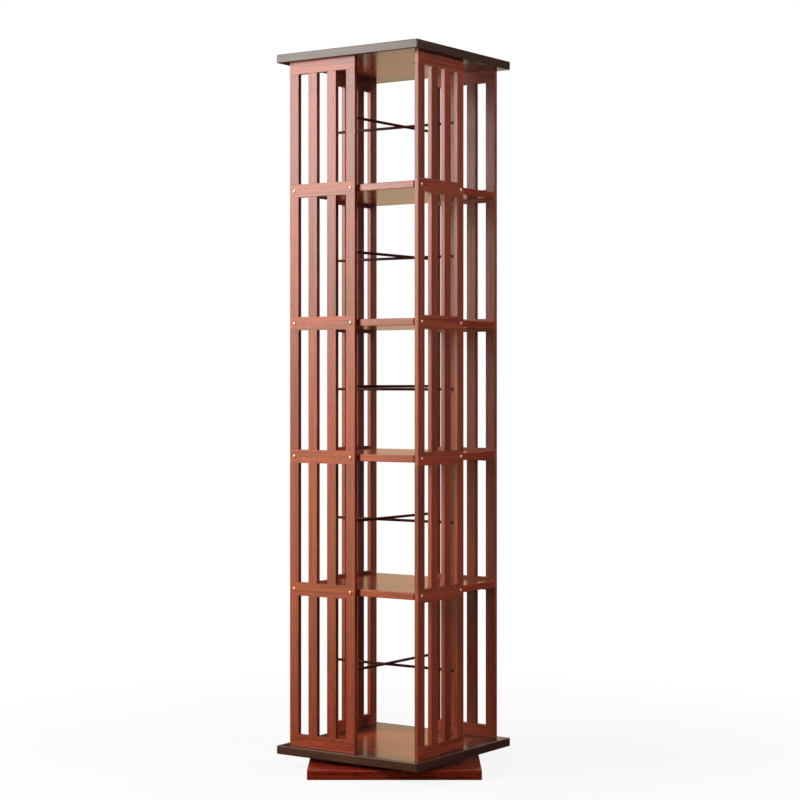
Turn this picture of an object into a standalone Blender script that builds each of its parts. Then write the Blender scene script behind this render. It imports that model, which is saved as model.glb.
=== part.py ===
"""Five-tier revolving bookcase with slatted sides on a turntable base.

Metres, +Z up. The origin lies on the swivel axis at floor level. The sides of the tower are square
to X and Y, and the base under it is turned on the swivel axis.
"""

import math

import bmesh
import bpy
from mathutils import Matrix, Vector

MM = 0.001

# Gap left between two pieces that touch
SEAT = 0.3 * MM

# Square boards: the base, and the bottom and top boards of the tower
BASE_SIDE = 363 * MM
BASE_THICKNESS = 20 * MM
BASE_TURN = math.radians(34.57)
BOARD_SIDE = 363 * MM
BOARD_THICKNESS = 18 * MM
EDGE_EASE = 1.5 * MM

# Tiers and shelves
BOTTOM_TIER = 328.9 * MM
UPPER_TIER = 267.4 * MM
SHELF_THICKNESS = 15 * MM
SHELF_COUNT = 4

# Slatted side panels, one on each side of the tower, set like a pinwheel
SIDES = ("front", "right", "back", "left")
PANEL_THICKNESS = 10 * MM
PANEL_INSET = 13.9 * MM  # from the edge of the boards to the panel's outer face
CORNER_REVEAL = 0.9 * MM  # from the corner of the shelves to the panel's first slat
SLAT_COUNT = 4
SLAT_WIDTH = 23.7 * MM
SLAT_OFFSET = 3.25 * MM  # from the middle of the side to the middle of the last slat
END_RAIL = 26.5 * MM
MIDDLE_RAIL = 28 * MM
TONGUE_THICKNESS = 5 * MM
TONGUE_DEPTH = 6 * MM
TONGUE_SHOULDER = 10 * MM

# Cross rods that stop the books, two in each tier
ROD_DIAMETER = 6 * MM
ROD_RISE = 4.5 * MM  # from the middle of the tier to the place where the rods touch
ROD_SOCKET = 6 * MM

# Screws through the panels into the edges of the shelves
SCREW_HEAD_DIAMETER = 6.8 * MM
SCREW_HEAD_HEIGHT = 2 * MM
SCREW_SHANK = 3.6 * MM
SCREW_LENGTH = 38 * MM

# Ball bearing between the base and the bottom board
PLATE_THICKNESS = 1.5 * MM
PLATE_RIM = 4 * MM  # from the access holes to the rim of the plates
BALL_DIAMETER = 6.5 * MM
BALL_CIRCLE = 110 * MM
BALL_COUNT = 16
RACE_WIDTH = 5.6 * MM
RACE_DEPTH = 0.6 * MM
CAGE_WIDTH = 8.5 * MM
CAGE_THICKNESS = 1.2 * MM
DISH_MARGIN = 14 * MM  # from the dished middle of the upper plate to the cage
COLLAR_WALL = 1.5 * MM
COLLAR_PLAY = 0.8 * MM
LIP_WIDTH = 5 * MM
LIP_THICKNESS = 1.2 * MM

# Screws that hold the bearing plates
PLATE_SCREW_MARGIN = 4.75 * MM  # from the cage to the access holes
PLATE_SCREW_HEAD = 7.5 * MM
PLATE_SCREW_HEAD_HEIGHT = 2 * MM
PLATE_SCREW_SHANK = 4 * MM
PLATE_SCREW_LENGTH = 13 * MM
ACCESS_HOLE = 14 * MM

# Facets of round pieces
SCREW_FACETS = 8
ROD_FACETS = 12
BALL_FACETS = 8
BALL_RINGS = 4
RING_FACETS = 36

# Heights, worked out from the floor up
PLATE_LOW = BASE_THICKNESS + SEAT
PLATE_TOP = PLATE_LOW + PLATE_THICKNESS
LOWER_RACE = PLATE_TOP - RACE_DEPTH
BALL_HEIGHT = LOWER_RACE + SEAT + BALL_DIAMETER / 2
UPPER_RACE = BALL_HEIGHT + BALL_DIAMETER / 2 + SEAT
UPPER_PLATE_LOW = UPPER_RACE - RACE_DEPTH
UPPER_PLATE_TOP = UPPER_PLATE_LOW + PLATE_THICKNESS
LIP_TOP = UPPER_PLATE_TOP - SEAT
LIP_LOW = LIP_TOP - LIP_THICKNESS
DISH_TOP = LIP_LOW - SEAT
DISH_LOW = DISH_TOP - PLATE_THICKNESS
BOTTOM_BOARD_LOW = UPPER_PLATE_TOP + SEAT
BOTTOM_BOARD_TOP = BOTTOM_BOARD_LOW + BOARD_THICKNESS
SHELF_PITCH = SHELF_THICKNESS + UPPER_TIER
SHELF_LOWS = [BOTTOM_BOARD_TOP + BOTTOM_TIER + i * SHELF_PITCH for i in range(SHELF_COUNT)]
TIER_LOWS = [BOTTOM_BOARD_TOP] + [low + SHELF_THICKNESS for low in SHELF_LOWS]
TIER_TOPS = SHELF_LOWS + [TIER_LOWS[-1] + UPPER_TIER]
TOP_BOARD_LOW = TIER_TOPS[-1]
RAIL_HEIGHTS = [low + SHELF_THICKNESS / 2 for low in SHELF_LOWS]
ROD_HEIGHTS = [(low + top) / 2 + ROD_RISE for low, top in zip(TIER_LOWS, TIER_TOPS)]

# Places in plan, on the side that faces -Y
PANEL_OUT = -(BOARD_SIDE / 2 - PANEL_INSET)
PANEL_IN = PANEL_OUT + PANEL_THICKNESS
SHELF_SIDE = -2 * (PANEL_IN + SEAT)
PANEL_LEFT = -(SHELF_SIDE / 2 - CORNER_REVEAL)
PANEL_RIGHT = SLAT_OFFSET + SLAT_WIDTH / 2
SLAT_PITCH = (PANEL_RIGHT - PANEL_LEFT - SLAT_WIDTH) / (SLAT_COUNT - 1)
SLAT_MIDDLES = [PANEL_LEFT + SLAT_WIDTH / 2 + i * SLAT_PITCH for i in range(SLAT_COUNT)]
SCREW_PLACES = {"a": SLAT_MIDDLES[0], "b": SLAT_MIDDLES[-1]}
PANEL_LOW = BOTTOM_BOARD_TOP + SEAT
PANEL_TOP = TOP_BOARD_LOW - SEAT
ROD_END = -PANEL_IN + ROD_SOCKET - SEAT

# Radii of the bearing, worked out from the ball circle
RACE_IN = (BALL_CIRCLE - RACE_WIDTH) / 2
RACE_OUT = (BALL_CIRCLE + RACE_WIDTH) / 2
CAGE_IN = (BALL_CIRCLE - CAGE_WIDTH) / 2
CAGE_OUT = (BALL_CIRCLE + CAGE_WIDTH) / 2
DISH_OUT = CAGE_IN - DISH_MARGIN
DISH_IN = DISH_OUT - PLATE_THICKNESS
UPPER_BORE = DISH_IN - LIP_WIDTH
COLLAR_OUT = UPPER_BORE - COLLAR_PLAY
COLLAR_IN = COLLAR_OUT - COLLAR_WALL
LIP_OUT = COLLAR_OUT + LIP_WIDTH
PLATE_SCREW_REACH = CAGE_OUT + PLATE_SCREW_MARGIN + ACCESS_HOLE / 2
PLATE_OUT = PLATE_SCREW_REACH + ACCESS_HOLE / 2 + PLATE_RIM

# Cutters reach this far past the face that they open
CUT_PAST = 2 * MM


def clear_scene():
    """Remove every object that the file starts with."""
    for old in list(bpy.data.objects):
        bpy.data.objects.remove(old, do_unlink=True)


def finish(name, colour, roughness, metallic=0.0):
    """Make a Principled material of one colour."""
    material = bpy.data.materials.new(name)
    material.use_nodes = True
    shader = material.node_tree.nodes["Principled BSDF"]
    shader.inputs["Base Color"].default_value = (*colour, 1.0)
    shader.inputs["Roughness"].default_value = roughness
    shader.inputs["Metallic"].default_value = metallic
    return material


def add_box(shape, low, high):
    """Add a box between two corners to a bmesh and return its vertices."""
    low = Vector(low)
    high = Vector(high)
    size = Matrix.Diagonal((*(high - low), 1.0))
    place = Matrix.Translation((low + high) / 2) @ size
    return bmesh.ops.create_cube(shape, size=1.0, matrix=place)["verts"]


def add_turned(shape, profile, facets, closed):
    """Spin a profile of (radius, height) points about Z; a closed profile makes a ring."""
    points = [shape.verts.new((radius, 0.0, height)) for radius, height in profile]
    pairs = list(zip(points, points[1:]))
    if closed:
        pairs.append((points[-1], points[0]))
    edges = [shape.edges.new(pair) for pair in pairs]
    bmesh.ops.spin(shape, geom=points + edges, axis=(0, 0, 1), angle=math.tau, steps=facets, use_merge=True)
    bmesh.ops.remove_doubles(shape, verts=shape.verts, dist=SEAT / 100)
    bmesh.ops.recalc_face_normals(shape, faces=shape.faces)


def add_bore(shape, start, end, diameter, facets):
    """Add a closed prism between two points to a bmesh, as a rod or as the cutter of a bore."""
    start = Vector(start)
    end = Vector(end)
    turn = Vector((0, 0, 1)).rotation_difference(end - start).to_matrix().to_4x4()
    bmesh.ops.create_cone(
        shape,
        cap_ends=True,
        segments=facets,
        radius1=diameter / 2,
        radius2=diameter / 2,
        depth=(end - start).length,
        matrix=Matrix.Translation((start + end) / 2) @ turn,
    )


def to_mesh(shape, name, smooth=False):
    """Turn a bmesh into mesh data, shaded smooth where a piece is round."""
    mesh = bpy.data.meshes.new(name)
    shape.to_mesh(mesh)
    shape.free()
    if smooth:
        mesh.shade_smooth()
        mesh.set_sharp_from_angle(angle=math.radians(40))
    return mesh


def combine(mesh, tool_shape, operation):
    """Return a new mesh: the first one after an exact Boolean with a bmesh tool."""
    body = bpy.data.objects.new(mesh.name, mesh)
    tool = bpy.data.objects.new(mesh.name + "_tool", to_mesh(tool_shape, mesh.name + "_tool"))
    for item in (body, tool):
        bpy.context.scene.collection.objects.link(item)
    step = body.modifiers.new(operation.lower(), "BOOLEAN")
    step.operation = operation
    step.solver = "EXACT"
    step.object = tool
    result = body.evaluated_get(bpy.context.evaluated_depsgraph_get())
    combined = bpy.data.meshes.new_from_object(result)
    for item in (body, tool):
        bpy.data.objects.remove(item)
    combined.name = mesh.name
    return combined


def place(name, mesh, material, parent, location=(0, 0, 0), rotation=(0, 0, 0)):
    """Put one named piece of the bookcase in the scene."""
    piece = bpy.data.objects.new(name, mesh)
    bpy.context.scene.collection.objects.link(piece)
    piece.location = location
    piece.rotation_euler = rotation
    piece.parent = parent
    if not mesh.materials:
        mesh.materials.append(material)
    return piece


def add_axis(name, turn):
    """Add the empty on the swivel axis that carries one turning group of pieces."""
    axis = bpy.data.objects.new(name, None)
    bpy.context.scene.collection.objects.link(axis)
    axis.rotation_euler = (0, 0, turn)
    return axis


def side_turn(side):
    """Angle of one side of the tower, counted from the front, which faces -Y."""
    return side * math.tau / len(SIDES)


def eased_board(name, side, thickness):
    """Square board on the plane Z = 0 with all its edges rounded over a little."""
    shape = bmesh.new()
    add_box(shape, (-side / 2, -side / 2, 0), (side / 2, side / 2, thickness))
    bmesh.ops.bevel(
        shape, geom=list(shape.edges), offset=EDGE_EASE, segments=2, profile=0.5, affect="EDGES"
    )
    return to_mesh(shape, name)


def screw_mesh(name, head_diameter, head_height, shank, length):
    """Round-headed screw along Z: the head rises from Z = 0 and the shank goes down."""
    head = head_diameter / 2
    profile = [
        (0, head_height),
        (head * 0.6, head_height * 0.82),
        (head, head_height * 0.3),
        (head, 0),
        (shank / 2, 0),
        (shank / 2, shank - length),
        (0, -length),
    ]
    shape = bmesh.new()
    add_turned(shape, profile, SCREW_FACETS, closed=False)
    return to_mesh(shape, name, smooth=True)


def plate_screw_mesh():
    """Screw of the bearing plates."""
    return screw_mesh(
        "plate_screw", PLATE_SCREW_HEAD, PLATE_SCREW_HEAD_HEIGHT, PLATE_SCREW_SHANK, PLATE_SCREW_LENGTH
    )


def base_mesh():
    """Base board with pilot holes for the lower plate and ways through to the upper one's screws."""
    cuts = bmesh.new()
    pilot_end = PLATE_TOP - PLATE_SCREW_LENGTH
    for x in (-PLATE_SCREW_REACH, PLATE_SCREW_REACH):
        top = (x, 0, BASE_THICKNESS + CUT_PAST)
        add_bore(cuts, (x, 0, pilot_end), top, PLATE_SCREW_SHANK + 2 * SEAT, SCREW_FACETS)
    for y in (-PLATE_SCREW_REACH, PLATE_SCREW_REACH):
        top = (0, y, BASE_THICKNESS + CUT_PAST)
        add_bore(cuts, (0, y, -CUT_PAST), top, ACCESS_HOLE, ROD_FACETS)
    return combine(eased_board("base_board", BASE_SIDE, BASE_THICKNESS), cuts, "DIFFERENCE")


def lower_plate_mesh():
    """Pressed steel plate: race for the balls, and a rolled collar whose lip holds the upper plate."""
    profile = [
        (COLLAR_IN, PLATE_LOW),
        (PLATE_OUT, PLATE_LOW),
        (PLATE_OUT, PLATE_TOP),
        (RACE_OUT, PLATE_TOP),
        (RACE_OUT, LOWER_RACE),
        (RACE_IN, LOWER_RACE),
        (RACE_IN, PLATE_TOP),
        (COLLAR_OUT, PLATE_TOP),
        (COLLAR_OUT, LIP_LOW),
        (LIP_OUT, LIP_LOW),
        (LIP_OUT, LIP_TOP),
        (COLLAR_IN, LIP_TOP),
    ]
    shape = bmesh.new()
    add_turned(shape, profile, RING_FACETS, closed=True)
    cuts = bmesh.new()
    low = PLATE_LOW - CUT_PAST
    high = PLATE_TOP + CUT_PAST
    for x in (-PLATE_SCREW_REACH, PLATE_SCREW_REACH):
        add_bore(cuts, (x, 0, low), (x, 0, high), PLATE_SCREW_SHANK + 2 * SEAT, SCREW_FACETS)
    for y in (-PLATE_SCREW_REACH, PLATE_SCREW_REACH):
        add_bore(cuts, (0, y, low), (0, y, high), ACCESS_HOLE, ROD_FACETS)
    return combine(to_mesh(shape, "bearing_lower_plate", smooth=True), cuts, "DIFFERENCE")


def upper_plate_mesh():
    """Pressed steel plate: race for the balls, and a dished middle under the collar's lip."""
    profile = [
        (UPPER_BORE, DISH_LOW),
        (DISH_OUT, DISH_LOW),
        (DISH_OUT, UPPER_PLATE_LOW),
        (RACE_IN, UPPER_PLATE_LOW),
        (RACE_IN, UPPER_RACE),
        (RACE_OUT, UPPER_RACE),
        (RACE_OUT, UPPER_PLATE_LOW),
        (PLATE_OUT, UPPER_PLATE_LOW),
        (PLATE_OUT, UPPER_PLATE_TOP),
        (DISH_IN, UPPER_PLATE_TOP),
        (DISH_IN, DISH_TOP),
        (UPPER_BORE, DISH_TOP),
    ]
    shape = bmesh.new()
    add_turned(shape, profile, RING_FACETS, closed=True)
    cuts = bmesh.new()
    low = UPPER_PLATE_LOW - CUT_PAST
    high = UPPER_PLATE_TOP + CUT_PAST
    for y in (-PLATE_SCREW_REACH, PLATE_SCREW_REACH):
        add_bore(cuts, (0, y, low), (0, y, high), PLATE_SCREW_SHANK + 2 * SEAT, SCREW_FACETS)
    return combine(to_mesh(shape, "bearing_upper_plate", smooth=True), cuts, "DIFFERENCE")


def ball_ring_mesh():
    """Flat cage ring with the balls of the bearing held in it, rolling at half the tower's turn."""
    middle = BALL_CIRCLE / 2
    low = BALL_HEIGHT - CAGE_THICKNESS / 2
    high = BALL_HEIGHT + CAGE_THICKNESS / 2
    section = [(CAGE_IN, low), (CAGE_OUT, low), (CAGE_OUT, high), (CAGE_IN, high)]
    cage = bmesh.new()
    add_turned(cage, section, RING_FACETS, closed=True)
    balls = bmesh.new()
    for i in range(BALL_COUNT):
        turn = Matrix.Rotation(i * math.tau / BALL_COUNT, 4, "Z")
        bmesh.ops.create_uvsphere(
            balls,
            u_segments=BALL_FACETS,
            v_segments=BALL_RINGS,
            radius=BALL_DIAMETER / 2,
            matrix=turn @ Matrix.Translation((middle, 0, BALL_HEIGHT)),
        )
    return combine(to_mesh(cage, "bearing_ball_ring", smooth=True), balls, "UNION")


def add_grooves(cuts, low, high):
    """Add the cutters of the four grooves that take the tongues of the panels."""
    middle = (PANEL_OUT + PANEL_IN) / 2
    half = TONGUE_THICKNESS / 2 + SEAT
    left = PANEL_LEFT + TONGUE_SHOULDER - SEAT
    right = PANEL_RIGHT - TONGUE_SHOULDER + SEAT
    for side in range(len(SIDES)):
        corners = add_box(cuts, (left, middle - half, low), (right, middle + half, high))
        turn = Matrix.Rotation(side_turn(side), 3, "Z")
        bmesh.ops.rotate(cuts, verts=corners, cent=(0, 0, 0), matrix=turn)


def bottom_board_mesh():
    """Bottom board: grooves for the panels above, pilot holes for the bearing plate below."""
    cuts = bmesh.new()
    add_grooves(cuts, BOARD_THICKNESS - TONGUE_DEPTH, BOARD_THICKNESS + CUT_PAST)
    pilot_end = UPPER_PLATE_LOW + PLATE_SCREW_LENGTH - BOTTOM_BOARD_LOW
    for y in (-PLATE_SCREW_REACH, PLATE_SCREW_REACH):
        add_bore(cuts, (0, y, -CUT_PAST), (0, y, pilot_end), PLATE_SCREW_SHANK + 2 * SEAT, SCREW_FACETS)
    return combine(eased_board("bottom_board", BOARD_SIDE, BOARD_THICKNESS), cuts, "DIFFERENCE")


def top_board_mesh():
    """Top board: grooves for the panels below."""
    cuts = bmesh.new()
    add_grooves(cuts, -CUT_PAST, TONGUE_DEPTH)
    return combine(eased_board("top_board", BOARD_SIDE, BOARD_THICKNESS), cuts, "DIFFERENCE")


def shelf_mesh():
    """Square shelf with pilot holes in its edges, two on each side."""
    cuts = bmesh.new()
    middle = SHELF_THICKNESS / 2
    pilot_end = PANEL_OUT + SCREW_LENGTH
    for side in range(len(SIDES)):
        turn = Matrix.Rotation(side_turn(side), 3, "Z")
        for x in SCREW_PLACES.values():
            start = turn @ Vector((x, -SHELF_SIDE / 2 - CUT_PAST, middle))
            end = turn @ Vector((x, pilot_end, middle))
            add_bore(cuts, start, end, SCREW_SHANK + 2 * SEAT, SCREW_FACETS)
    return combine(eased_board("shelf", SHELF_SIDE, SHELF_THICKNESS), cuts, "DIFFERENCE")


def panel_mesh(name, rod_shift):
    """Slatted panel on the side that faces -Y: uprights and rails glued into one frame.

    The tongues at both ends go into the boards. Windows are open between slats and rails, clearance
    holes take the shelf screws, and blind sockets in the last slat take the ends of the cross rods.
    """
    shape = bmesh.new()
    add_box(shape, (PANEL_LEFT, PANEL_OUT, PANEL_LOW), (PANEL_RIGHT, PANEL_IN, PANEL_TOP))
    frame = to_mesh(shape, name)

    tongue = bmesh.new()
    middle = (PANEL_OUT + PANEL_IN) / 2
    half = TONGUE_THICKNESS / 2
    left = PANEL_LEFT + TONGUE_SHOULDER
    right = PANEL_RIGHT - TONGUE_SHOULDER
    low = PANEL_LOW - TONGUE_DEPTH
    high = PANEL_TOP + TONGUE_DEPTH
    add_box(tongue, (left, middle - half, low), (right, middle + half, high))
    frame = combine(frame, tongue, "UNION")

    cuts = bmesh.new()
    window_lows = [PANEL_LOW + END_RAIL] + [height + MIDDLE_RAIL / 2 for height in RAIL_HEIGHTS]
    window_tops = [height - MIDDLE_RAIL / 2 for height in RAIL_HEIGHTS] + [PANEL_TOP - END_RAIL]
    front = PANEL_OUT - CUT_PAST
    back = PANEL_IN + CUT_PAST
    for slat, after in zip(SLAT_MIDDLES, SLAT_MIDDLES[1:]):
        window_left = slat + SLAT_WIDTH / 2
        window_right = after - SLAT_WIDTH / 2
        for window_low, window_top in zip(window_lows, window_tops):
            add_box(cuts, (window_left, front, window_low), (window_right, back, window_top))
    for x in SCREW_PLACES.values():
        for height in RAIL_HEIGHTS:
            start = (x, front, height)
            end = (x, back, height)
            add_bore(cuts, start, end, SCREW_SHANK + 2 * SEAT, SCREW_FACETS)
    for height in ROD_HEIGHTS:
        start = (0, PANEL_IN - ROD_SOCKET, height + rod_shift)
        end = (0, back, height + rod_shift)
        add_bore(cuts, start, end, ROD_DIAMETER + 2 * SEAT, ROD_FACETS)
    return combine(frame, cuts, "DIFFERENCE")


def rod_mesh():
    """Straight cross rod along Y through the swivel axis."""
    shape = bmesh.new()
    add_bore(shape, (0, -ROD_END, 0), (0, ROD_END, 0), ROD_DIAMETER, ROD_FACETS)
    return to_mesh(shape, "cross_rod", smooth=True)


def build_base(axis, wood, steel):
    """Base board, the lower bearing plate and its two screws."""
    place("base_board", base_mesh(), wood, axis)
    place("bearing_lower_plate", lower_plate_mesh(), steel, axis)
    screw = plate_screw_mesh()
    for number, x in enumerate((-PLATE_SCREW_REACH, PLATE_SCREW_REACH), start=1):
        place(f"lower_plate_screw_{number}", screw, steel, axis, location=(x, 0, PLATE_TOP + SEAT))


def build_bearing_top(axis, steel):
    """Upper bearing plate and its two screws, driven up into the bottom board."""
    place("bearing_upper_plate", upper_plate_mesh(), steel, axis)
    screw = plate_screw_mesh()
    for number, y in enumerate((-PLATE_SCREW_REACH, PLATE_SCREW_REACH), start=1):
        seat = (0, y, UPPER_PLATE_LOW - SEAT)
        place(f"upper_plate_screw_{number}", screw, steel, axis, location=seat, rotation=(math.pi, 0, 0))


def build_boards(axis, board_wood, shelf_wood):
    """Bottom board, shelves from the lowest up, and top board."""
    place("bottom_board", bottom_board_mesh(), board_wood, axis, location=(0, 0, BOTTOM_BOARD_LOW))
    shelf = shelf_mesh()
    for number, low in enumerate(SHELF_LOWS, start=1):
        place(f"shelf_{number}", shelf, shelf_wood, axis, location=(0, 0, low))
    place("top_board", top_board_mesh(), board_wood, axis, location=(0, 0, TOP_BOARD_LOW))


def build_panels(axis, wood, brass, rod_shift):
    """Four side panels and the screws that hold the shelves to them.

    The rods along Y end in the panels that face -Y and +Y, above the rods along X.
    """
    along_y = panel_mesh("panel_along_y", rod_shift)
    along_x = panel_mesh("panel_along_x", -rod_shift)
    screw = screw_mesh("shelf_screw", SCREW_HEAD_DIAMETER, SCREW_HEAD_HEIGHT, SCREW_SHANK, SCREW_LENGTH)
    for side, side_name in enumerate(SIDES):
        mesh = along_x if side % 2 else along_y
        turn = side_turn(side)
        place(f"side_panel_{side_name}", mesh, wood, axis, rotation=(0, 0, turn))
        for level, height in enumerate(RAIL_HEIGHTS, start=1):
            for letter, x in SCREW_PLACES.items():
                seat = Matrix.Rotation(turn, 3, "Z") @ Vector((x, PANEL_OUT - SEAT, height))
                name = f"shelf_screw_{side_name}_{level}_{letter}"
                place(name, screw, brass, axis, location=seat, rotation=(math.pi / 2, 0, turn))


def build_rods(axis, dark_metal, rod_shift):
    """Two crossing rods in each tier: one along X, one along Y resting on it."""
    rod = rod_mesh()
    for tier, height in enumerate(ROD_HEIGHTS, start=1):
        along_x = (0, 0, math.pi / 2)
        place(f"cross_rod_x_{tier}", rod, dark_metal, axis, (0, 0, height - rod_shift), along_x)
        place(f"cross_rod_y_{tier}", rod, dark_metal, axis, (0, 0, height + rod_shift))


def build_bookcase():
    """Put the whole bookcase together from the floor up."""
    clear_scene()
    base_wood = finish("base_wood", (0.17, 0.025, 0.013), 0.38)
    board_wood = finish("board_wood", (0.085, 0.040, 0.026), 0.36)
    shelf_wood = finish("shelf_wood", (0.32, 0.135, 0.075), 0.36)
    panel_wood = finish("panel_wood", (0.30, 0.085, 0.045), 0.36)
    brass = finish("screw_brass", (0.80, 0.52, 0.20), 0.28, 1.0)
    dark_metal = finish("rod_dark_metal", (0.035, 0.020, 0.016), 0.35, 0.6)
    steel = finish("bearing_steel", (0.55, 0.55, 0.55), 0.4, 1.0)
    rod_shift = (ROD_DIAMETER + SEAT) / 2
    base_axis = add_axis("base_axis", BASE_TURN)
    tower_axis = add_axis("tower_axis", 0.0)
    build_base(base_axis, base_wood, steel)
    place("bearing_ball_ring", ball_ring_mesh(), steel, None)
    build_bearing_top(tower_axis, steel)
    build_boards(tower_axis, board_wood, shelf_wood)
    build_panels(tower_axis, panel_wood, brass, rod_shift)
    build_rods(tower_axis, dark_metal, rod_shift)


build_bookcase()
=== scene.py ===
"""Looks of a five-tier revolving bookcase with slatted sides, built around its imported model.

Metres, +Z up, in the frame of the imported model: the origin is on the swivel axis at floor level, the
sides of the tower are square to X and Y, and the base under it is turned on the axis.
"""

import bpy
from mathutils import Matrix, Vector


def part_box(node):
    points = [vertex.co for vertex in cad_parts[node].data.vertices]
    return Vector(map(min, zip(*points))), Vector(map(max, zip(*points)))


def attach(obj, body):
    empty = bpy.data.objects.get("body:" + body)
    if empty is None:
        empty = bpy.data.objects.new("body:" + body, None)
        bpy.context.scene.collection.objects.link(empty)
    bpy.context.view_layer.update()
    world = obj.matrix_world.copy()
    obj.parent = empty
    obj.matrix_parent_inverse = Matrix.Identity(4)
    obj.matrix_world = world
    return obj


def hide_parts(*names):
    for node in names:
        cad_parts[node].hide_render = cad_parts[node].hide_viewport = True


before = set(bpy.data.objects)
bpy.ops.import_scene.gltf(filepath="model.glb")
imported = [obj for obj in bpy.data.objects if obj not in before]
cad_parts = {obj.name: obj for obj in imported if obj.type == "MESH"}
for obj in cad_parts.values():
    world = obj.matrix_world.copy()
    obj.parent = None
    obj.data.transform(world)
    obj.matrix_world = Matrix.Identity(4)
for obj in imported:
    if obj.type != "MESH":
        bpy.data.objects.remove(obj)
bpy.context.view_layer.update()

import math

import bpy
import numpy as np
from mathutils import Vector
from mathutils.geometry import delaunay_2d_cdt

# Base board: a square plinth of solid stained hardwood with rounded-over edges, lying on the floor.
# Two holes go right through it, so that a screwdriver reaches the screws of the upper bearing plate.
MM = 0.001


class Shade:
    """One output socket of a material's nodes; arithmetic on it adds Math nodes to the same tree."""

    def __init__(self, socket):
        self.socket = socket
        self.tree = socket.id_data

    def node(self, kind, inputs, output=0, **settings):
        """Add a node: its settings first, then a value or a link for each of its named inputs."""
        made = self.tree.nodes.new("ShaderNode" + kind)
        for setting, value in settings.items():
            setattr(made, setting, value)
        for name, value in inputs.items():
            if isinstance(value, Shade):
                self.tree.links.new(value.socket, made.inputs[name])
            else:
                made.inputs[name].default_value = value
        return Shade(made.outputs[output])

    def math(self, operation, first, second):
        """Math node on two values."""
        return self.node("Math", {0: first, 1: second}, operation=operation)

    def __add__(self, other):
        return self.math("ADD", self, other)

    def __sub__(self, other):
        return self.math("SUBTRACT", self, other)

    def __rsub__(self, other):
        return self.math("SUBTRACT", other, self)

    def __mul__(self, other):
        return self.math("MULTIPLY", self, other)

    __radd__ = __add__
    __rmul__ = __mul__

    def between(self, low, high):
        """Smooth step of this value: 0 at the low end, 1 at the high end."""
        ends = {"Value": self, "From Min": low, "From Max": high}
        return self.node("MapRange", ends, interpolation_type="SMOOTHSTEP")

    def mix(self, first, second):
        """Colour that goes from the first to the second as this value goes from 0 to 1."""
        return self.node("Mix", {0: self, 6: first, 7: second}, output=2, data_type="RGBA")

    def tinted(self, cast):
        """This colour times another, channel by channel."""
        colours = {0: 1.0, 6: self, 7: cast}
        return self.node("Mix", colours, output=2, data_type="RGBA", blend_type="MULTIPLY")

    def noise(self, stretch, detail, roughness=0.55, distortion=0.0):
        """Noise on this vector, with so many waves to the metre along each of its axes."""
        scaled = self.node("VectorMath", {0: self, 1: stretch}, operation="MULTIPLY")
        settings = {"Vector": scaled, "Scale": 1.0, "Detail": detail, "Roughness": roughness}
        return self.node("TexNoise", {**settings, "Distortion": distortion})


def new_finish(name):
    """Empty procedural material: returns it with its Principled shader and a maker of input nodes."""
    material = bpy.data.materials.new(name)
    material.use_nodes = True
    shader = material.node_tree.nodes["Principled BSDF"]
    return material, shader, Shade(shader.outputs[0])


def wire(shader, **signals):
    """Link signals to the shader's inputs, named with underscores for spaces."""
    for name, signal in signals.items():
        socket = shader.inputs[name.replace("_", " ").title()]
        signal.tree.links.new(signal.socket, socket)


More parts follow.
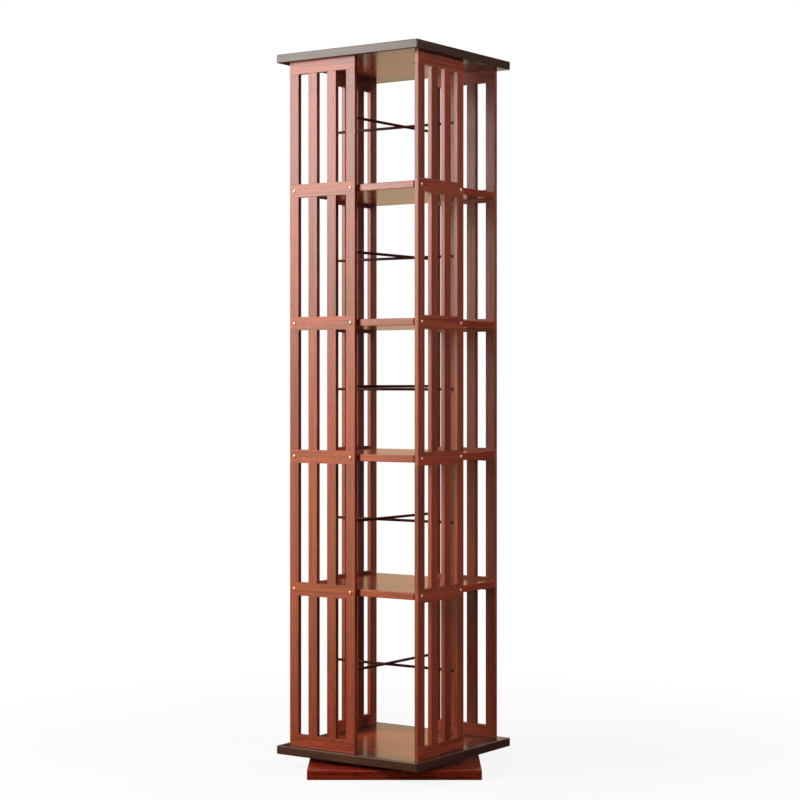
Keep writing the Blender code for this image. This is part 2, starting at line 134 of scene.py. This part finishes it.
def stained_wood(name, pale, deep, pore, rough=0.22, relief=0.10, reaches=(), margins=(), dulled=0.0):
    """Stained and lacquered hardwood, on the piece's own grain, figure, tint and arris attributes.

    Broad figure, streaks, short flecks and fibres are noises drawn out along the grain. Together they
    go from the deep to the pale colour, as strongly as the figure attribute says. A slower noise casts
    it to orange or to rose, the darkest fibres are open pores, and the lacquer is rubbed at the arrises.
    A board on the axis may have margins, the deep and pale colours that it is shaded to between the
    first two reaches from the axis. From the second reach to the third, that of its sides, the lacquer
    gets rougher by dulled.
    """
    material, shader, maker = new_finish(name)
    grain = maker.node("Attribute", {}, output="Vector", attribute_name="grain")
    figure = maker.node("Attribute", {}, output="Fac", attribute_name="figure")
    tint = maker.node("Attribute", {}, output="Fac", attribute_name="tint")
    arris = maker.node("Attribute", {}, output="Fac", attribute_name="arris")
    broad = grain.noise((45.0, 45.0, 1.6), 3.0, distortion=0.6)
    streaks = grain.noise((280.0, 280.0, 5.0), 4.0, 0.6)
    flecks = grain.noise((420.0, 420.0, 110.0), 3.0, 0.7)
    fibres = grain.noise((1300.0, 1300.0, 24.0), 2.0)
    pores = grain.noise((900.0, 900.0, 34.0), 2.0).between(0.60, 0.72)
    lines = (broad - 0.5) * 0.4 + (streaks - 0.5) * 1.1 + (flecks - 0.5) * 0.7 + (fibres - 0.5) * 0.35
    share = (lines * figure + (tint - 0.5) * 0.3 + 0.5).between(0.2, 0.8)
    cast = grain.noise((200.0, 200.0, 4.0), 3.0).between(0.35, 0.65)
    cast = cast.mix((1.04, 0.80, 1.10, 1.0), (0.95, 1.30, 0.80, 1.0))
    colour = share.mix((*deep, 1.0), (*pale, 1.0)).tinted(cast)
    sheen = streaks * 0.08 + flecks * 0.06 + pores * 0.10 + (rough - 0.07) - arris * 0.05
    if reaches:
        place = maker.node("TexCoord", {}, output="Object")
        place = maker.node("VectorMath", {0: place}, operation="ABSOLUTE")
        x, y = (
            maker.node("VectorMath", {0: place, 1: axis}, "Value", operation="DOT_PRODUCT")
            for axis in ((1.0, 0.0, 0.0), (0.0, 1.0, 0.0))
        )
        reach = maker.math("MAXIMUM", x, y)
        sheen = sheen + reach.between(reaches[1], reaches[2]) * dulled
    if margins:
        margin_colour = share.mix((*margins[0], 1.0), (*margins[1], 1.0))
        colour = reach.between(reaches[0], reaches[1]).mix(colour, margin_colour)
    colour = (pores * 0.38).mix(colour, (*pore, 1.0))
    rubbed = (arris * (0.15 + streaks * 0.3)).mix((1.0, 1.0, 1.0, 1.0), (1.6, 1.7, 1.8, 1.0))
    colour = colour.tinted(rubbed)
    height = fibres * 0.35 + streaks * 0.4 + flecks * 0.3 - pores * 0.9
    bump = maker.node("Bump", {"Height": height, "Strength": relief, "Distance": 0.06 * MM})
    wire(shader, base_color=colour, roughness=sheen, normal=bump)
    return material


def eased_blocks(centres, sizes, ease, corner, steps=4):
    """Closed blocks with rounded edges, as arrays over (block, ring, point on the ring).

    A rounded rectangle is carried up a profile. At the profile's angle a, from -90 to 90 degrees, the
    rectangle is drawn in by ease * (1 - cos a) and stands ease * (1 - |sin a|) from the nearer end face.
    Returns the points, their normals and the faces.
    """
    quarter = np.linspace(0.0, math.pi / 2, steps + 1)
    lift = np.concatenate([quarter - math.pi / 2, quarter])
    inset = ease * (1.0 - np.cos(lift))
    end = np.repeat([-1.0, 1.0], len(lift) // 2)
    turn = np.concatenate([quarter + side * math.pi / 2 for side in range(4)])
    quadrant = np.repeat([[1, 1], [-1, 1], [-1, -1], [1, -1]], steps + 1, axis=0)
    radius = np.maximum(corner - inset, 0.05 * corner)
    arc = np.stack([np.cos(turn), np.sin(turn)], axis=-1)
    half = np.asarray(sizes)[:, None, None, :2] / 2 - (inset + radius)[:, None, None]
    plan = quadrant * half.reshape(-1, len(lift), 1, 2) + radius[:, None, None] * arc
    rise = end * (np.asarray(sizes)[:, 2:] / 2 - ease) + ease * np.sin(lift)
    rise = np.broadcast_to(rise[:, :, None, None], (*plan.shape[:3], 1))
    points = np.concatenate([plan, rise], axis=-1) + np.asarray(centres)[:, None, None, :]
    normals = np.empty(points.shape)
    normals[..., :2] = np.cos(lift)[:, None, None] * arc
    normals[..., 2] = np.sin(lift)[:, None]
    return points, normals, tube_faces(*points.shape[:3])


def tube_faces(tubes, rings, around):
    """Faces of closed tubes of rings: quads between neighbouring rings and a flat face at each end."""
    grid = np.arange(tubes * rings * around).reshape(tubes, rings, around)
    after = np.roll(grid, -1, axis=2)
    quads = np.stack([grid[:, :-1], after[:, :-1], after[:, 1:], grid[:, 1:]], axis=-1)
    ends = np.concatenate([grid[:, 0, ::-1], grid[:, -1]])
    return quads.reshape(-1, 4).tolist() + ends.tolist()


def tie_piece(mesh, material, body, nodes):
    """Put a finished mesh in the scene and tie it to the frame in place of its CAD nodes."""
    mesh.materials.append(material)
    piece = bpy.data.objects.new(mesh.name, mesh)
    bpy.context.scene.collection.objects.link(piece)
    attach(piece, body)
    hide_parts(*nodes)


def add_piece(name, points, normals, faces, material, body, slot, nodes, **attributes):
    """Piece of a mesh with its own normals, and with attributes that its material reads."""
    mesh = bpy.data.meshes.new(name)
    mesh.from_pydata(points.reshape(-1, 3), [], faces)
    mesh.polygons.foreach_set("use_smooth", np.ones(len(mesh.polygons), bool))
    mesh.normals_split_custom_set_from_vertices(normals.reshape(-1, 3))
    for label, values in attributes.items():
        wide = np.ndim(values) == np.ndim(points)
        kind = "FLOAT_VECTOR" if wide else "FLOAT"
        layer = mesh.attributes.new(label, kind, "POINT")
        layer.data.foreach_set("vector" if wide else "value", np.ravel(values).astype(np.float32))
    tie_piece(mesh, material, body, nodes)


def arris_of(normals):
    """Share of an edge's rounding at each point: 0 on flat faces and 1 halfway round an edge."""
    return np.clip((1.0 - np.abs(normals).max(axis=-1)) / (1.0 - math.sqrt(0.5)), 0.0, 1.0)


def turned_about_axis(vectors, angle):
    """Vectors turned about Z by an angle in radians."""
    c, s = math.cos(angle), math.sin(angle)
    return vectors @ np.array([[c, s, 0.0], [-s, c, 0.0], [0.0, 0.0, 1.0]])


def bored(points, normals, faces, bores, radius, ease, steps=4, around=24):
    """One block of eased_blocks with round holes bored through it along Z, as flat arrays and faces.

    At the rim's angle a, from 0 on the face to 90 degrees in the hole, a ring of the hole has the
    radius radius + ease * (1 - sin a) and lies ease * (1 - cos a) below the face. The end faces are
    triangulated between the block's outline and the rims.
    """
    lean = np.linspace(0.0, math.pi / 2, steps + 1)
    lean = np.concatenate([lean, lean[::-1]])
    end = np.repeat([1.0, -1.0], steps + 1)
    turn = np.linspace(0.0, math.tau, around, endpoint=False)
    arc = np.stack([np.cos(turn), np.sin(turn)], axis=-1)
    reach = radius + ease * (1.0 - np.sin(lean))
    rims = np.empty((len(bores), len(lean), around, 3))
    rims[..., :2] = np.array(bores)[:, None, None, :] + reach[:, None, None] * arc
    rims[..., 2] = (end * (points[..., 2].max() - ease * (1.0 - np.cos(lean))))[:, None]
    rim_normals = np.empty(rims.shape)
    rim_normals[..., :2] = -np.sin(lean)[:, None, None] * arc
    rim_normals[..., 2] = (end * np.cos(lean))[:, None]
    outside = np.arange(points.size // 3).reshape(points.shape[1:3])
    inside = outside.size + np.arange(rims.size // 3).reshape(rims.shape[:3])
    walls = tube_faces(*rims.shape[:3])[:-2 * len(bores)]
    shell = faces[:-2] + (np.array(walls) + outside.size).tolist()
    every = np.concatenate([points.reshape(-1, 3), rims.reshape(-1, 3)])
    for ring, rim, order in ((-1, 0, 1), (0, -1, -1)):
        loops = [outside[ring], *inside[:, rim]]
        corners = np.concatenate(loops)
        ends = np.cumsum([0] + [len(loop) for loop in loops]).tolist()
        outlines = [list(range(first, last)) for first, last in zip(ends[:-1], ends[1:])]
        plan = [Vector(corner) for corner in every[corners, :2]]
        triangles = delaunay_2d_cdt(plan, [], outlines, 2, 1e-7)[2]
        shell += corners[np.array(triangles)][:, ::order].tolist()
    return every, np.concatenate([normals.reshape(-1, 3), rim_normals.reshape(-1, 3)]), shell


def add_board(name, node, side, material, body, slot, seed, figure, turn=0.0, bores=(), radius=0.0):
    """Square board in place of a CAD node, with the grain along its own Y and along all its edges.

    The seed gives the place in the wood that it is cut from, and the figure how strong its grain is.
    """
    low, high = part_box(node)
    centre = (np.array(low) + np.array(high)) / 2
    size = (side, side, high.z - low.z)
    points, normals, faces = eased_blocks([(0, 0, 0)], [size], EDGE_EASE, CORNER_RADIUS)
    if bores:
        points, normals, faces = bored(points, normals, faces, bores, radius, BORE_EASE)
    draws = np.random.default_rng(seed)
    flat = np.abs(normals[..., 2]) > 0.999
    across_x = np.abs(normals[..., 0]) > np.abs(normals[..., 1])
    along = np.where(across_x, points[..., 1], points[..., 0])
    edge = np.stack([points[..., 2], np.full(along.shape, 0.5), along], axis=-1)
    face = np.stack([points[..., 0], points[..., 2], points[..., 1]], axis=-1)
    grain = np.where(flat[..., None], face, edge) + draws.uniform(-5, 5, 3)
    add_piece(
        name,
        turned_about_axis(points, turn) + centre,
        turned_about_axis(normals, turn),
        faces,
        material,
        body,
        slot,
        [node],
        grain=grain,
        figure=np.full(along.shape, figure),
        tint=np.full(along.shape, 0.5),
        arris=arris_of(normals),
    )


BASE_SIDE = 363 * MM
BASE_TURN = math.radians(34.57)
ACCESS_HOLES = ((-71 * MM, 0.0), (71 * MM, 0.0))
ACCESS_RADIUS = 7 * MM
EDGE_EASE = 1.5 * MM
CORNER_RADIUS = 2.1 * MM
BORE_EASE = 0.45 * MM
base_wood = stained_wood(
    "plinth_stain", (0.54, 0.045, 0.015), (0.13, 0.010, 0.004), (0.03, 0.005, 0.004)
)
add_board(
    "plinth", "base_board", BASE_SIDE, base_wood, "base", "base_wood", seed=11, figure=1.8,
    turn=BASE_TURN + math.pi / 2, bores=ACCESS_HOLES, radius=ACCESS_RADIUS,
)

# Turntable bearing: two pressed steel plates with a ring of balls between them, zinc plated and
# screwed to the base below and to the bottom board above. It hides in the gap under the tower.


def plated_steel(name):
    """Zinc plate with a cloudy spangle and a fine scuffed roughness, on object coordinates."""
    material, shader, maker = new_finish(name)
    place = maker.node("TexCoord", {}, output="Object")
    clouds = place.noise((90.0, 90.0, 90.0), 3.0)
    scuffs = place.noise((700.0, 700.0, 700.0), 4.0)
    wire(
        shader,
        base_color=clouds.mix((0.42, 0.43, 0.44, 1.0), (0.66, 0.66, 0.64, 1.0)),
        roughness=clouds * 0.15 + scuffs * 0.15 + 0.22,
        normal=maker.node("Bump", {"Height": scuffs, "Strength": 0.15, "Distance": 0.1 * MM}),
    )
    shader.inputs["Metallic"].default_value = 1.0
    return material


bearing_steel = plated_steel("zinc_plate")
bearing_nodes = ["bearing_lower_plate", "bearing_ball_ring", "bearing_upper_plate"]
bearing_nodes += [f"{plate}_plate_screw_{n}" for plate in ("lower", "upper") for n in (1, 2)]
for node in bearing_nodes:
    for material_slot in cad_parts[node].material_slots:
        material_slot.link = "OBJECT"
        material_slot.material = bearing_steel

# Bottom board: the square board that the tower stands on, stained red-brown and shaded to dark walnut
# towards its edges, under a glossy lacquer. The panels stand in grooves in its top.
BOARD_SIDE = 363 * MM
board_wood = stained_wood(
    "board_stain", (0.50, 0.066, 0.018), (0.25, 0.027, 0.008), (0.10, 0.015, 0.006), rough=0.21,
    relief=0.010, reaches=(90 * MM, 165 * MM, BOARD_SIDE / 2),
    margins=((0.034, 0.010, 0.005), (0.078, 0.025, 0.011)), dulled=0.16,
)
add_board(
    "foot_board", "bottom_board", BOARD_SIDE, board_wood, "tower", "board_wood", seed=12, figure=1.1
)

# Side panels: four slatted frames of solid stained hardwood, set like a pinwheel. Each is four
# uprights between six rails, glued up flush, sanded and eased, with a fine seam at every joint.
SIDES = ("front", "right", "back", "left")
SLAT_COUNT = 4
SLAT_WIDTH = 23.7 * MM
END_RAIL = 26.5 * MM
MIDDLE_RAIL = 28.0 * MM
JOINT_EASE = 0.35 * MM
ARRIS_RADIUS = 1.0 * MM
PANEL_SEEDS = (16937, 7083, 22, 66400)
SLAT_TINTS = (0.2, 0.75)
RAIL_TINT = 0.30
RAIL_FIGURE = 0.6
panel_wood = stained_wood(
    "panel_stain", (0.415, 0.063, 0.025), (0.15, 0.020, 0.0085), (0.06, 0.010, 0.005), rough=0.36
)
panel_low, panel_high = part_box("side_panel_front")
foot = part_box("bottom_board")[1].z
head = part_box("top_board")[0].z
shelf_boxes = [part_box(f"shelf_{n}") for n in range(1, 5)]
rail_heights = np.array([(low.z + high.z) / 2 for low, high in shelf_boxes])
rail_lows = np.concatenate([[foot], rail_heights - MIDDLE_RAIL / 2, [head - END_RAIL]])
rail_tops = np.concatenate([[foot + END_RAIL], rail_heights + MIDDLE_RAIL / 2, [head]])
slat_middles = np.linspace(panel_low.x + SLAT_WIDTH / 2, panel_high.x - SLAT_WIDTH / 2, SLAT_COUNT)
panel_middle = (panel_low.y + panel_high.y) / 2
panel_thickness = panel_high.y - panel_low.y


def panel_strips():
    """Middles and sizes of the strips of the front panel: the rails first, then the lengths of slat.

    A rail is as long as the panel is wide, and a length of slat fills the space between two rails.
    """
    rails = len(rail_lows)
    middle_x = np.full(rails, (panel_low.x + panel_high.x) / 2)
    width = np.full(rails, panel_high.x - panel_low.x)
    x, low = (a.ravel() for a in np.meshgrid(slat_middles, rail_tops[:-1]))
    top = np.meshgrid(slat_middles, rail_lows[1:])[1].ravel()
    middles_x = np.concatenate([middle_x, x])
    middles_z = np.concatenate([(rail_lows + rail_tops) / 2, (low + top) / 2])
    widths = np.concatenate([width, np.full(len(x), SLAT_WIDTH)])
    heights = np.concatenate([rail_tops - rail_lows, top - low])
    centres = np.stack([middles_x, np.full(len(middles_x), panel_middle), middles_z], axis=-1)
    sizes = np.stack([widths, np.full(len(widths), panel_thickness), heights], axis=-1)
    return centres, sizes, np.arange(len(widths)) < rails


strip_centres, strip_sizes, is_rail = panel_strips()
strip_points, strip_normals, strip_faces = eased_blocks(
    strip_centres, strip_sizes, JOINT_EASE, ARRIS_RADIUS
)
own_place = strip_points - strip_centres[:, None, None, :]
own_place = np.where(is_rail[:, None, None, None], own_place[..., ::-1], own_place)
for side, side_name in enumerate(SIDES):
    draws = np.random.default_rng(PANEL_SEEDS[side])
    shift = draws.uniform(-5, 5, (len(strip_sizes), 1, 1, 3))
    tints = draws.uniform(*SLAT_TINTS, (len(strip_sizes), 1, 1)) + RAIL_TINT * is_rail[:, None, None]
    turn = side * math.pi / 2
    add_piece(
        f"slatted_panel_{side_name}",
        turned_about_axis(strip_points, turn),
        turned_about_axis(strip_normals, turn),
        strip_faces,
        panel_wood,
        "tower",
        "panel_wood",
        [f"side_panel_{side_name}"],
        grain=own_place + shift,
        figure=np.broadcast_to(1.0 + RAIL_FIGURE * is_rail[:, None, None], strip_points.shape[:3]),
        tint=np.broadcast_to(tints, strip_points.shape[:3]),
        arris=arris_of(strip_normals),
    )

# Shelves: four square boards of the same red-brown stain between the panels, one at each rail.
# Screws through the rails hold them by their edges.
SHELF_SIDE = shelf_boxes[0][1].x - shelf_boxes[0][0].x
shelf_wood = stained_wood(
    "shelf_stain", (0.46, 0.052, 0.018), (0.17, 0.018, 0.007), (0.06, 0.010, 0.005), rough=0.21,
    relief=0.03, reaches=(0.0, SHELF_SIDE / 2 - EDGE_EASE, SHELF_SIDE / 2), dulled=0.11,
)
for number in range(1, 5):
    add_board(
        f"shelf_board_{number}", f"shelf_{number}", SHELF_SIDE, shelf_wood, "tower", "shelf_wood",
        seed=30 + number, figure=1.2,
    )

# Shelf screws: turned from brass, lacquered, with pan heads and a cross recess. Two go through each
# middle rail of a panel into the edge of the shelf behind it.
HEAD_RADIUS = 3.4 * MM
HEAD_HEIGHT = 2.0 * MM
RECESS_DEPTH = 1.0 * MM
HEAD_RIM = 0.45  # share of the head's height that its rim stands up straight
RECESS_WIDTH, RECESS_FLANK = 0.13, 0.05  # shares of the head's radius, across an arm of the cross
RECESS_REACH, RECESS_TOE = 0.52, 0.08  # and along it
SHANK_RADIUS = 1.8 * MM
SHANK_LENGTH = 38.0 * MM
POINT_LENGTH = 4.0 * MM
POINT_RADIUS = 0.1 * MM
SHARP_EDGE = math.radians(35)
SCREW_SEEDS = (50, 51, 52, 53)


def screw_brass():
    """Lacquered brass: a warm metal under a film that darkens and dulls it in small patches."""
    material, shader, maker = new_finish("screw_brass")
    place = maker.node("TexCoord", {}, output="Object")
    film = place.noise((600.0, 600.0, 600.0), 3.0)
    wire(
        shader,
        base_color=film.mix((1.0, 0.64, 0.45, 1.0), (0.92, 0.54, 0.36, 1.0)),
        roughness=film * 0.20 + 0.31,
    )
    shader.inputs["Metallic"].default_value = 1.0
    return material


def pan_head():
    """Screw along -Z with its head above Z = 0, as points, quads and the face of its point.

    The head's top is a square grid drawn out to a disc, x = u * sqrt(1 - v*v/2) and likewise y; its
    height is a shallow dome, less the recess where u and v lie in the arms of a cross. The rim, the
    shank and its point are rings below the grid's border.
    """
    arm_side, arm_end = RECESS_WIDTH + RECESS_FLANK, RECESS_REACH + RECESS_TOE
    steps = [0.0, RECESS_WIDTH, arm_side, RECESS_REACH, arm_end, 0.8, 1.0]
    line = np.concatenate([-np.array(steps[:0:-1]), steps])
    u, v = np.meshgrid(line, line)
    x, y = u * np.sqrt(1 - v * v / 2), v * np.sqrt(1 - u * u / 2)
    thin, long = np.minimum(abs(u), abs(v)), np.maximum(abs(u), abs(v))
    recess = (thin <= RECESS_WIDTH + 0.001) & (long <= RECESS_REACH + 0.001)
    dome = np.sqrt(np.clip(1 - 0.98 * (x * x + y * y), 0, 1))
    dome = HEAD_HEIGHT * (HEAD_RIM + (1 - HEAD_RIM) * dome)
    top = np.stack([x * HEAD_RADIUS, y * HEAD_RADIUS, dome - RECESS_DEPTH * recess], axis=-1)
    count = len(line)
    grid = np.arange(count * count).reshape(count, count)
    quads = np.stack([grid[:-1, :-1], grid[:-1, 1:], grid[1:, 1:], grid[1:, :-1]], axis=-1)
    border = np.concatenate([grid[0, :-1], grid[:-1, -1], grid[-1, :0:-1], grid[:0:-1, 0]])
    rim = top.reshape(-1, 3)[border] / HEAD_RADIUS
    rings = [(HEAD_RADIUS, 0.0), (SHANK_RADIUS, 0.0), (SHANK_RADIUS, POINT_LENGTH - SHANK_LENGTH)]
    rings += [(POINT_RADIUS, -SHANK_LENGTH)]
    below = np.stack([
        np.stack([rim[:, 0] * radius, rim[:, 1] * radius, np.full(len(rim), height)], axis=-1)
        for radius, height in rings
    ])
    added = grid.size + np.arange(below.size // 3).reshape(len(rings), -1)
    loops = np.concatenate([border[None], added])
    after = np.roll(loops, -1, axis=1)
    walls = np.stack([loops[:-1], loops[1:], after[1:], after[:-1]], axis=-1)
    points = np.concatenate([top.reshape(-1, 3), below.reshape(-1, 3)])
    return points, np.concatenate([quads.reshape(-1, 4), walls.reshape(-1, 4)]), loops[-1, ::-1]


brass = screw_brass()
screw_points, screw_quads, screw_end = pan_head()
for side, side_name in enumerate(SIDES):
    draws = np.random.default_rng(SCREW_SEEDS[side])
    nodes = [f"shelf_screw_{side_name}_{n}_{end}" for n in range(1, 5) for end in "ab"]
    places = np.array([
        (x, panel_low.y, z) for z in rail_heights for x in (slat_middles[0], slat_middles[-1])
    ])
    spins = draws.uniform(0, math.pi / 2, len(places))
    c, s = np.cos(spins)[:, None], np.sin(spins)[:, None]
    x = c * screw_points[:, 0] - s * screw_points[:, 1]
    z = s * screw_points[:, 0] + c * screw_points[:, 1]
    points = np.stack([x, np.broadcast_to(-screw_points[:, 2], x.shape), z], axis=-1)
    points = turned_about_axis(points + places[:, None, :], side * math.pi / 2)
    mesh = bpy.data.meshes.new(f"brass_screws_{side_name}")
    first = np.arange(len(places)) * len(screw_points)
    quads = (screw_quads + first[:, None, None]).reshape(-1, 4)
    mesh.from_pydata(points.reshape(-1, 3), [], quads.tolist() + (screw_end + first[:, None]).tolist())
    mesh.shade_smooth()
    mesh.set_sharp_from_angle(angle=SHARP_EDGE)
    tie_piece(mesh, brass, "tower", nodes)

# Cross rods: two thin steel rods cross in the middle of each tier and keep the books apart. They are
# enamelled in a dark red-brown, and their ends sit in blind holes in the panels.
ROD_RADIUS = 3.0 * MM
ROD_END_EASE = 0.6 * MM


def enamelled_steel():
    """Dark red-brown enamel on a drawn rod: glossy, a little patchy, with a fine grit in it."""
    material, shader, maker = new_finish("enamelled_steel")
    place = maker.node("TexCoord", {}, output="Object")
    patches = place.noise((60.0, 60.0, 60.0), 3.0)
    grit = place.noise((900.0, 900.0, 900.0), 2.0)
    wire(
        shader,
        base_color=patches.mix((0.030, 0.0035, 0.0022, 1.0), (0.075, 0.008, 0.005, 1.0)),
        roughness=patches * 0.15 + grit * 0.15 + 0.17,
    )
    shader.inputs["Specular IOR Level"].default_value = 0.12
    return material


def round_rod(low, high, axis):
    """Round rod with softened ends inside a box, along X (axis 0) or Y (axis 1).

    It is an eased block whose corner radius is just short of half its width, turned to lie on its side.
    """
    size = (2 * ROD_RADIUS, 2 * ROD_RADIUS, high[axis] - low[axis])
    corner = ROD_RADIUS * 0.999
    points, normals, faces = eased_blocks([(0, 0, 0)], [size], ROD_END_EASE, corner, steps=8)
    order = [2, 0, 1] if axis == 0 else [1, 2, 0]
    centre = (np.array(low) + np.array(high)) / 2
    return points[..., order] + centre, normals[..., order], faces


rod_finish = enamelled_steel()
for tier in range(1, 6):
    for axis, letter in enumerate("xy"):
        node = f"cross_rod_{letter}_{tier}"
        add_piece(
            f"book_rod_{letter}_{tier}", *round_rod(*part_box(node), axis), rod_finish, "tower",
            "rod_metal", [node],
        )

# Top board: the mate of the bottom board, in the same stain and lacquer. It is grooved underneath and
# pressed down on the tongues of the panels.
add_board(
    "head_board", "top_board", BOARD_SIDE, board_wood, "tower", "board_wood", seed=13, figure=1.1
)

# Studio: a pale floor that runs into a white background, and a bank of softboxes on the left of the
# camera, white above and warmer below. A large one hangs over it, fills stand high in front and on the
# other sides, and a warm reflector behind the tower shows in the lacquer of the shelves.
scene = bpy.context.scene
scene.view_settings.view_transform = "Standard"
AMBIENT = (0.03, 0.028, 0.025, 1.0)
CEILING = (0.65, 0.65, 0.65, 1.0)

world = bpy.data.worlds.new("studio")
scene.world = world
world.use_nodes = True
sky = Shade(world.node_tree.nodes["Background"].outputs[0])
camera_ray, glossy_ray, clear_ray = (
    sky.node("LightPath", {}, output=f"Is {kind} Ray") for kind in ("Camera", "Glossy", "Transmission")
)
direction = sky.node("TexCoord", {}, output="Generated")
upward = sky.node("VectorMath", {0: direction, 1: (0.0, 0.0, 1.0)}, "Value", operation="DOT_PRODUCT")
above = upward.between(0.3, 0.6) * glossy_ray
colour = (camera_ray + clear_ray).mix(above.mix(AMBIENT, CEILING), (1.0, 1.0, 1.0, 1.0))
world.node_tree.links.new(colour.socket, world.node_tree.nodes["Background"].inputs["Color"])


def add_softbox(name, place, target, width, height, radiance, colour=(1.0, 1.0, 1.0)):
    """Rectangular area light at a place, turned to a target, of a given brightness (white is 1)."""
    light = bpy.data.lights.new(name, "AREA")
    light.shape = "RECTANGLE"
    light.size, light.size_y = width, height
    light.energy = radiance * math.pi * width * height
    light.color = colour
    lamp = bpy.data.objects.new(name, light)
    scene.collection.objects.link(lamp)
    lamp.location = place
    aim = np.array(target) - np.array(place)
    lamp.rotation_euler = Vector(aim).to_track_quat("-Z", "Y").to_euler()
    lamp.visible_camera = False


BANK_X, BANK_Y, BANK_WIDTH = -1.30, -1.89, 0.85
for name, height, target, tall, radiance, colour in (
    ("key_softbox", 1.73, 1.73, 0.74, 15.5, (1.0, 1.0, 0.95)),
    ("middle_softbox", 1.13, 1.13, 0.46, 9.1, (1.0, 0.92, 0.72)),
    ("low_softbox", 0.45, 0.45, 0.90, 5.6, (1.0, 0.60, 0.34)),
    ("upper_softbox", 2.45, 1.60, 0.60, 5.0, (1.0, 1.0, 1.0)),
):
    add_softbox(name, (BANK_X, BANK_Y, height), (0, 0, target), BANK_WIDTH, tall, radiance, colour)
add_softbox("high_softbox", (-2.6, -2.4, 3.4), (0, 0, 0.7), 2.0, 2.0, 2.4)
add_softbox("high_front_fill", (1.60, -2.90, 3.00), (0, 0, 0.80), 1.00, 1.00, 5.6, (1.0, 0.74, 0.66))
add_softbox("side_fill", (3.16, 0.97, 2.10), (0, 0, 0.80), 0.80, 0.70, 21.5)
add_softbox("low_side_fill", (3.16, 0.97, 0.55), (0, 0, 0.55), 0.60, 0.70, 6.8)
add_softbox("warm_reflector", (-1.65, 2.86, 1.0), (0, 0, 1.0), 0.80, 2.0, 0.84, (1.0, 0.70, 0.42))
add_softbox("back_fill", (0.0, 3.30, 1.0), (0, 0, 1.0), 0.80, 2.0, 4.8)
add_softbox("left_fill", (-3.10, 1.13, 1.0), (0, 0, 1.0), 0.80, 2.0, 5.0)

FLOOR_RADIUS = 2.6
FLOOR_WHITENESS = 0.88
rim = np.linspace(0.0, math.tau, 96, endpoint=False)
floor_mesh = bpy.data.meshes.new("floor")
floor_mesh.from_pydata(
    FLOOR_RADIUS * np.stack([np.cos(rim), np.sin(rim), 0.0 * rim], axis=-1), [], [list(range(len(rim)))]
)
floor = bpy.data.objects.new("floor", floor_mesh)
scene.collection.objects.link(floor)
floor_finish = bpy.data.materials.new("pale_floor")
floor_finish.use_nodes = True
floor_mesh.materials.append(floor_finish)
tree = floor_finish.node_tree
tree.nodes.remove(tree.nodes["Principled BSDF"])
maker = Shade(tree.nodes.new("ShaderNodeTexCoord").outputs["Object"])
distance = maker.node("VectorMath", {0: maker}, output="Value", operation="LENGTH")
far = distance.between(0.4, 1.6)
seen = maker.node("LightPath", {}, output="Is Camera Ray")
paint = seen.mix((0.08, 0.08, 0.08, 1.0), (0.95, 0.95, 0.95, 1.0))
plain = maker.node("BsdfDiffuse", {"Color": paint})
white = maker.node("Emission", {"Color": (1.0, 1.0, 1.0, 1.0), "Strength": 1.0})
share = seen * (far * (1.0 - FLOOR_WHITENESS) + FLOOR_WHITENESS)
surface = maker.node("MixShader", {0: share, 1: plain, 2: white})
tree.links.new(surface.socket, tree.nodes["Material Output"].inputs["Surface"])

# Camera: level, in front of the corner between the front and the right side, at the photo's angle. Its
# lens is set from pixels of an 800 pixel picture, and shifted so that the uprights stay upright.
CAMERA_PLACE = (2.45343, -3.54018, 0.82491)
FOCAL_PIXELS = 1992.88
PICTURE_PIXELS = 800.0
HORIZON_PIXEL = 381.8
lens = bpy.data.cameras.new("camera")
lens.sensor_width = 36.0
lens.lens = FOCAL_PIXELS / PICTURE_PIXELS * lens.sensor_width
lens.shift_y = -(PICTURE_PIXELS / 2 - HORIZON_PIXEL) / PICTURE_PIXELS
camera = bpy.data.objects.new("camera", lens)
scene.collection.objects.link(camera)
camera.location = CAMERA_PLACE
camera.rotation_euler = (math.pi / 2, 0.0, BASE_TURN)
scene.camera = camera
